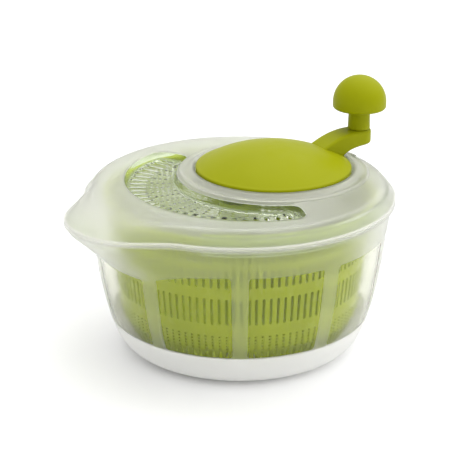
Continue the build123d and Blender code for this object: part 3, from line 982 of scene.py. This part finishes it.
    def build(self, materials: Materials) -> None:
        """Makes the skin, the strainer's floor, the locating ring and the two bosses underneath."""
        skin = make_piece("lid_shell", [self.skin_patch()], wall=self.wall * MM, offset=1.0, crease=50.0)
        place(skin, "lid", "lid", [materials.frost_lid, materials.clear_tray, materials.frost_bead])
        floor = make_piece("strainer_floor", self.floor_patches(), wall=self.floor_wall * MM, crease=30.0)
        place(floor, "lid", None, [materials.clear_tray])
        ring = make_piece("lid_locating_ring", [self.locating_ring()])
        place(ring, "lid", None, [materials.clear_tray])
        under = make_piece("lid_underside_bosses", [self.boss(8.2, CRANK_AXIS), self.boss(9.2, (0.0, 0.0))])
        place(under, "lid", None, [materials.frost_lid])


# ---- basket ----


@dataclass
class Basket:
    """Green basket with slotted wall and floor. Sizes in millimetres."""

    pitches: int = 112
    slot_share: float = 0.20
    wall: float = 1.9
    tip: float = 1.0
    tip_share: float = 0.35
    tip_round: float = 0.7
    rungs: int = 5
    rung_low: float = 34.0
    rung_pitch: float = 2.8
    rung_tall: float = 1.6
    wall_low: float = 100.0
    wall_lean: float = 10.2
    lean_from: float = 33.0
    lean_length: float = 99.0
    lean_power: float = 0.8

    def floor_rows(self) -> list[tuple[float, float]]:
        """Radius and height of the floor's middle, from the hub to the foot of the wall."""
        flat = [(radius, 12.0) for radius in (13.5, 24.0, 26.0, 47.0, 49.0, 52.0, 54.0, 76.0, 78.0)]
        return [*flat, (81.5, 12.1), (84.6, 12.8), (88.0, 14.2), (91.2, 16.6), (93.8, 20.0), (96.4, 25.0),
                (98.9, 32.0)]

    def bands(self) -> list[tuple[float, float]]:
        """Lower and upper end of each row of openings in the wall."""
        lows = [self.rung_low + self.rung_pitch * step for step in range(self.rungs)]
        rungs = [(low, low + self.rung_tall) for low in lows]
        return [*rungs, (57.0, 80.5), (89.5, 106.0), (111.0, 126.0)]

    def wall_radius(self, height: np.ndarray) -> np.ndarray:
        """Radius of the wall's middle above its rounded foot, a power curve of the height."""
        part = np.maximum(height - self.lean_from, 0.0) / self.lean_length
        return self.wall_low + self.wall_lean * part**self.lean_power

    def build(self, materials: Materials) -> None:
        """Makes the basket and dresses it."""
        rows = []
        for low, high in self.bands():
            tip = min(self.tip, (high - low) * self.tip_share)
            bulge = self.tip_round * tip
            rows += [(low, bulge), (low + tip, 0.0), (high - tip, 0.0), (high, -bulge)]
        levels, shift = np.array(rows).T
        angle, lane = lanes(np.arange(self.pitches), 2 * np.pi / self.pitches, self.slot_share)
        slot_lane = (lane == 1) | (lane == 2)
        height = levels[:, None] + shift[:, None] * (lane != 2)
        radius = self.wall_radius(height)
        opened_wall = np.zeros((levels.size, angle.size), bool)
        for i in range(0, levels.size, 4):
            opened_wall[i:i + 3] = slot_lane
        flat_r, flat_z = level_rows(self.floor_rows(), angle.size)
        # the floor's inner band has a slot in every fourth pitch, its outer band in every second
        opened_flat = np.zeros(flat_r.shape, bool)
        number = np.repeat(np.arange(self.pitches), 4)
        opened_flat[2] = slot_lane & (number % 4 == 0)
        opened_flat[6] = slot_lane & (number % 2 == 0)
        opened_flat[-3:-1] = slot_lane
        lip = [(110.0, 130.0), (110.3, 131.2), (111.2, 132.1), (112.4, 132.5), (113.2, 132.4), (113.8, 131.8),
               (114.0, 130.9), (114.0, 129.2)]
        lip_r, lip_z = level_rows(lip, angle.size)
        all_r = np.concatenate([flat_r, radius, lip_r])
        all_z = np.concatenate([flat_z, height, lip_z])
        gone = np.concatenate([opened_flat, opened_wall, np.zeros(lip_r.shape, bool)])[:-1]
        points = np.stack([all_r * np.cos(angle), all_r * np.sin(angle), all_z], axis=-1) * MM
        hub = turned([(9.9, 11.0), (9.9, 28.6), (10.2, 29.0), (12.6, 29.0), (13.0, 28.6), (13.0, 24.0),
                      (13.3, 14.0), (14.0, 12.6), (15.5, 12.0), (15.5, 11.0)], 60)
        skin = make_piece("basket_shell", [Patch(points, kept=~gone)], wall=self.wall * MM, offset=0.0,
                          crease=35.0)
        place(skin, "basket", "basket", [materials.basket])
        centre = make_piece("basket_hub", [hub])
        place(centre, "basket", None, [materials.basket])


# ---- crank and knob ----


@dataclass
class Crank:
    """Dome with its arm, in one moulding. Sizes in millimetres."""

    radius: float = 66.3
    edge: float = 149.3
    rise: float = 18.0
    cap_inset: float = 2.2
    dome_round: float = 2.0
    shell: float = 2.2
    skirt: float = 142.5
    arm_length: float = 88.0
    end_radius: float = 10.8
    taper_at: tuple[float, ...] = (30.0, 50.0, 70.0, 90.0)
    taper_half: tuple[float, ...] = (28.2, 26.0, 18.2, 10.9)
    arm_start: float = 28.0
    arm_top: float = 168.3
    top_level: float = 80.0
    top_fall: float = 0.00557
    top_power: float = 2.077
    under_level: float = 155.8
    under_fall: float = 5.6
    under_from: float = 67.5
    under_length: float = 9.0
    under_least: float = 148.8
    round_edge: float = 2.6

    def dome(self) -> Patch:
        """Closed shell of the dome: a flat ball cap, a rounded edge and a short skirt."""
        ball = (self.radius**2 + self.rise**2) / (2 * self.rise)
        centre = self.edge + self.rise - ball
        slope = np.degrees(np.arcsin((self.radius - self.cap_inset) / ball))
        cap = arc((0.0, centre), ball, 90.0, 90.0 - slope, 40)
        bend = (self.radius - self.dome_round, cap[-1][1] - 2.1)
        corner = arc(bend, self.dome_round, 62.0, 0.0, 7)
        lower = [(self.radius, self.skirt + 0.5), (self.radius - 0.4, self.skirt),
                 (self.radius - self.shell, self.skirt)]
        inner = arc((0.0, centre), ball - self.shell, 90.0 - slope + 1.0, 90.0, 20)
        return turned(cap + corner + lower + inner, 240, CRANK_AXIS)

    def half_width(self, along: np.ndarray) -> np.ndarray:
        """Half width of the arm: a cubic taper, then the round end."""
        taper = np.polyval(np.polyfit(self.taper_at, self.taper_half, 3), along)
        past = np.clip(along - self.arm_length, 0.0, self.end_radius)
        return np.minimum(taper, np.sqrt(self.end_radius**2 - past**2))

    def arm(self) -> Patch:
        """Closed arm: a rounded rectangle carried along it, its top eased out of the dome.

        The top falls by a power of the distance before the place where it is level, the
        underside rises to its level exponentially, and both close at the end by the edge's rounding.
        """
        swing = np.radians(np.linspace(0.0, 90.0, 15))
        straight = np.linspace(self.arm_start, self.arm_length, 36)[:-1]
        along = np.concatenate([straight, self.arm_length + self.end_radius * np.sin(swing)])
        half = self.half_width(along)
        past = np.clip(along - (self.arm_length + self.end_radius - self.round_edge), 0.0, self.round_edge)
        ease = self.round_edge - np.sqrt(np.maximum(self.round_edge**2 - past**2, 0.0))
        top = self.arm_top - self.top_fall * np.maximum(self.top_level - along, 0.0) ** self.top_power - ease
        bend = self.under_fall * np.exp(-(along - self.under_from) / self.under_length)
        under = np.maximum(self.under_level - bend, self.under_least) + ease
        tall = (top - under) / 2
        soft = np.minimum(self.round_edge, np.minimum(half, tall))[:, None]
        corner = np.radians(np.concatenate([np.linspace(q * 90.0, q * 90.0 + 90.0, 8) for q in range(4)]))
        quarter = np.repeat([0, 1, 2, 3], 8)
        side = np.where((quarter == 0) | (quarter == 3), 1.0, -1.0)
        over = np.where(quarter < 2, 1.0, -1.0)
        y = side * (half[:, None] - soft) + soft * np.cos(corner)
        z = ((top + under) / 2)[:, None] + over * (tall[:, None] - soft) + soft * np.sin(corner)
        x = np.repeat(along[:, None], y.shape[1], axis=1)
        start = np.tile([along[0], 0.0, under[0] + 1.0], (1, y.shape[1], 1))
        local = np.concatenate([start, np.stack([x, y, z], axis=-1)])
        cos, sin = np.cos(ARM_ANGLE), np.sin(ARM_ANGLE)
        across = local[..., 0] * cos - local[..., 1] * sin
        ahead = local[..., 0] * sin + local[..., 1] * cos
        world = np.stack([across, ahead, local[..., 2]], axis=-1)
        return Patch(world * MM + np.array([*CRANK_AXIS, 0.0]))

    def build(self, materials: Materials) -> None:
        """Makes the dome with its arm and dresses it."""
        body = make_piece("crank_dome_and_arm", [self.dome(), self.arm()], crease=40.0)
        place(body, "crank", "crank", [materials.crank])


@dataclass
class Knob:
    """Mushroom knob and the sleeve it turns on. Sizes in millimetres."""

    radius: float = 23.2
    shoulder: float = 192.7
    bottom: float = 186.7
    lower_edge: float = 2.6
    disc: float = 12.0
    disc_rise: float = 0.3
    stem: float = 9.6
    stem_low: float = 168.6

    def build(self, materials: Materials) -> None:
        """Makes the cap and the stem and dresses them."""
        cap = arc((0.0, self.shoulder), self.radius, 90.0, 0.0, 30)
        edge = (self.radius - self.lower_edge, self.bottom + self.lower_edge)
        cap += arc(edge, self.lower_edge, 0.0, -90.0, 9)
        cap += [(self.disc, self.bottom + self.disc_rise), (0.0, self.bottom + self.disc_rise)]
        top = make_piece("knob_cap_skin", [turned(cap, 96, KNOB_AXIS)], crease=40.0)
        place(top, "knob", "knob_cap", [materials.crank])
        low, stem = self.stem_low, self.stem
        sleeve = [(0.0, low), (stem - 0.7, low), (stem - 0.1, low + 0.25), (stem + 0.1, low + 0.9),
                  (stem, low + 4.0), (stem - 0.3, self.bottom - 2.0), (stem - 0.1, self.bottom - 0.8),
                  (stem + 0.8, self.bottom + 0.1), (stem + 0.8, self.bottom + 1.0), (0.0, self.bottom + 1.0)]
        post = make_piece("knob_stem_skin", [turned(sleeve, 72, KNOB_AXIS)], crease=40.0)
        place(post, "knob", "knob_stem", [materials.crank])


# ---- running parts, which keep their CAD shape ----


@dataclass
class RunningParts:
    """Gears, bushes, shafts and screws: CAD nodes that get their finish here."""

    def build(self, materials: Materials) -> None:
        """Gives every node that still shows its material."""
        steel = ("pivot_pin", "crank_spindle", "spindle_washer", "spindle_screw", "gear_screws",
                 "driver_screw", "knob_pin", "knob_screw")
        bush = ("pivot_cup", "crank_bush", "pinion_bush", "glide_ring")
        finishes = {materials.steel: steel, materials.bush: bush,
                    materials.gear: ("ring_gear", "drive_pinion", "basket_driver"),
                    materials.basket: ("basket_column", "column_socket")}
        for material, names in finishes.items():
            for slot in (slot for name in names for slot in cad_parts[name].material_slots):
                slot.material = material
            LOG.info("%s: %s", material.name, ", ".join(names))


# ---- setting ----


@dataclass
class Studio:
    """Pale floor, soft light and the camera. Sizes in metres."""

    floor_half: float = 7.0
    floor_gap: float = 0.0002
    target: tuple[float, float, float] = (-0.0064, 0.0046, 0.0985)
    azimuth: float = -36.0
    elevation: float = 21.0
    distance: float = 1.3
    lens: float = 119.8
    bright_side: tuple[float, float, float] = (0.62, 0.62, 0.48)
    dim: float = 0.58
    bright: float = 0.84
    fade: float = 0.8
    sun_from: tuple[float, float, float] = (0.36, -0.05, 1.0)
    sun_spread: float = 90.0
    sun_strength: float = 2.25

    def build(self) -> None:
        """Makes the floor, the world's light, the sun and the camera."""
        self.floor()
        self.world()
        self.sun()
        self.camera()

    def floor(self) -> None:
        """A pale plane just under the bowl's foot."""
        half = self.floor_half
        mesh = bpy.data.meshes.new("floor")
        corners = [(x * half, y * half, -self.floor_gap) for x, y in ((-1, -1), (1, -1), (1, 1), (-1, 1))]
        mesh.from_pydata(corners, [], [(0, 1, 2, 3)])
        obj = bpy.data.objects.new("floor", mesh)
        bpy.context.scene.collection.objects.link(obj)
        material = bpy.data.materials.new("pale_floor")
        material.use_nodes = True
        shader = material.node_tree.nodes["Principled BSDF"]
        shader.inputs["Base Color"].default_value = (0.93, 0.93, 0.93, 1.0)
        shader.inputs["Roughness"].default_value = 0.9
        shader.inputs["Specular IOR Level"].default_value = 0.1
        mesh.materials.append(material)

    def world(self) -> None:
        """White light from all round, stronger from the far side: linear in the direction's cosine."""
        world = bpy.data.worlds.new("studio")
        world.use_nodes = True
        nodes = world.node_tree.nodes
        ground = nodes["Background"]
        ground.inputs["Color"].default_value = (1.0, 1.0, 1.0, 1.0)
        toward = nodes.new("ShaderNodeTexCoord")
        side = nodes.new("ShaderNodeVectorMath")
        side.operation = "DOT_PRODUCT"
        side.inputs[1].default_value = self.bright_side
        level = ranged(nodes, -self.fade, self.fade, self.dim, self.bright)
        wire(world.node_tree.links, (toward, "Generated", side, 0), (side, "Value", level, "Value"),
             (level, "Result", ground, "Strength"))
        bpy.context.scene.world = world
        bpy.context.scene.view_settings.view_transform = "Standard"

    def sun(self) -> None:
        """A wide, soft light from far above, its disc's width in degrees."""
        data = bpy.data.lights.new("soft_above", "SUN")
        data.angle = np.radians(self.sun_spread)
        data.energy = self.sun_strength
        obj = bpy.data.objects.new("soft_above", data)
        obj.rotation_euler = (-Vector(self.sun_from)).to_track_quat("-Z", "Y").to_euler()
        bpy.context.scene.collection.objects.link(obj)

    def camera(self) -> None:
        """The camera, at its azimuth and elevation about the target."""
        data = bpy.data.cameras.new("view")
        data.lens = self.lens
        data.sensor_width = 36.0
        data.clip_end = 50.0
        obj = bpy.data.objects.new("view", data)
        turn, rise = np.radians(self.azimuth), np.radians(self.elevation)
        back = Vector((np.sin(turn) * np.cos(rise), -np.cos(turn) * np.cos(rise), np.sin(rise)))
        obj.location = Vector(self.target) + back * self.distance
        obj.rotation_euler = (-back).to_track_quat("-Z", "Y").to_euler()
        bpy.context.scene.collection.objects.link(obj)
        bpy.context.scene.camera = obj


def main() -> None:
    """Builds every sub-assembly in order."""
    logging.basicConfig(level=logging.INFO, format="%(name)s %(message)s")
    materials = make_materials()
    outline = Outline()
    Bowl(outline).build(materials)
    Lid(outline, Tray()).build(materials)
    Basket().build(materials)
    Crank().build(materials)
    Knob().build(materials)
    RunningParts().build(materials)
    Studio().build()


if __name__ == "__main__":
    main()
